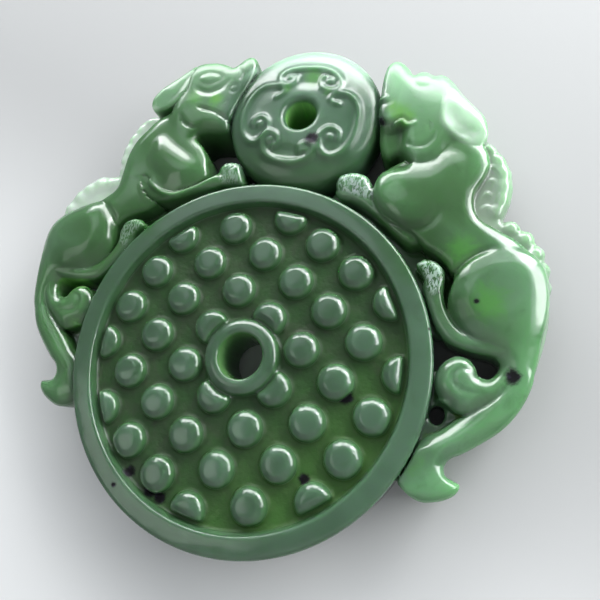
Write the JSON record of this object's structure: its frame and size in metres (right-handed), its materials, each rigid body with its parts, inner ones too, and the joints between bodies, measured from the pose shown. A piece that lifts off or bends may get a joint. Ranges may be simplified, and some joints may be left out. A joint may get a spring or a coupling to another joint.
{
  "type": "carved jade pendant",
  "caption": "Openwork carved jade pendant: a bossed bi disc with a ring bead above it and a climbing dragon on each side; a cord passes through the bead's hole.",
  "frame": {"origin": "under the middle of the pendant's box, on the plane that the back of the disc rests on", "axes": "+Z out of the carved front, +Y towards the ring bead at the top, +X to the right seen from the front"},
  "size_m": [0.0596, 0.0586, 0.0086],
  "materials": {
    "jade": "polished translucent spinach-green nephrite with a few black inclusions"
  },
  "bodies": {
    "root": {"jade_pendant": "jade"}
  },
  "joints": []
}
